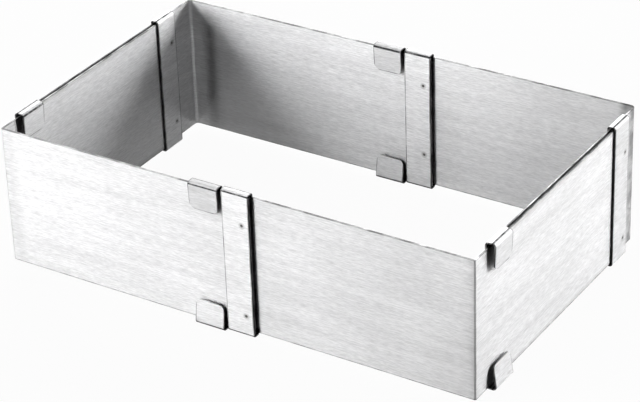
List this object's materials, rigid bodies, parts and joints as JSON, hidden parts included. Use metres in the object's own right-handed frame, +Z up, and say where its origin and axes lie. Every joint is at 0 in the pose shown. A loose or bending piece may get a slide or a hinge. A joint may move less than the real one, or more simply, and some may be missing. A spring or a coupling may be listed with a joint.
{
  "type": "adjustable mousse ring",
  "caption": "Rectangular bottomless steel mould frame for mousse or cake, made of bent sheets with hooks and folded guide bands that slide in each other to set its length and width.",
  "frame": {"origin": "on the table, at the middle of the footprint of the whole ring as set in the picture", "axes": "+X along the long walls, towards the sheet that slides along the length; +Y along the short walls, away from the front wall; +Z up"},
  "size_m": [0.2898, 0.1848, 0.0841],
  "materials": {
    "front_left_corner": "fine straight brushing along the sheet, bright satin",
    "front_right_corner": "fine straight brushing along the sheet, bright satin",
    "back_right_corner": "fine straight brushing along the sheet, bright satin",
    "back_left_corner": "fine straight brushing along the sheet, bright satin",
    "front_guide_band": "fine straight brushing along the sheet, bright satin",
    "right_guide_band": "fine straight brushing along the sheet, bright satin",
    "back_guide_band": "fine straight brushing along the sheet, bright satin",
    "left_guide_band": "fine straight brushing along the sheet, bright satin"
  },
  "bodies": {
    "front_left": {"front_left_corner": "front_left_corner", "front_guide_band": "front_guide_band", "left_guide_band": "left_guide_band"},
    "front_right": {"front_right_corner": "front_right_corner", "right_guide_band": "right_guide_band"},
    "back_left": {"back_left_corner": "back_left_corner", "back_guide_band": "back_guide_band"},
    "back_right": {"back_right_corner": "back_right_corner"}
  },
  "joints": [
    {"name": "length_slide", "type": "slide", "parent": "front_left", "child": "front_right", "axis": [1, 0, 0], "range_m": [-0.1185, 0.0005]},
    {"name": "left_width_slide", "type": "slide", "parent": "front_left", "child": "back_left", "axis": [0, 1, 0], "range_m": [-0.0105, 0.109]},
    {"name": "right_width_slide", "type": "slide", "parent": "front_right", "child": "back_right", "axis": [0, 1, 0], "range_m": [-0.0105, 0.109]}
  ],
  "couplings": [
    {"joint": "right_width_slide", "follows": "left_width_slide", "ratio": 1}
  ]
}
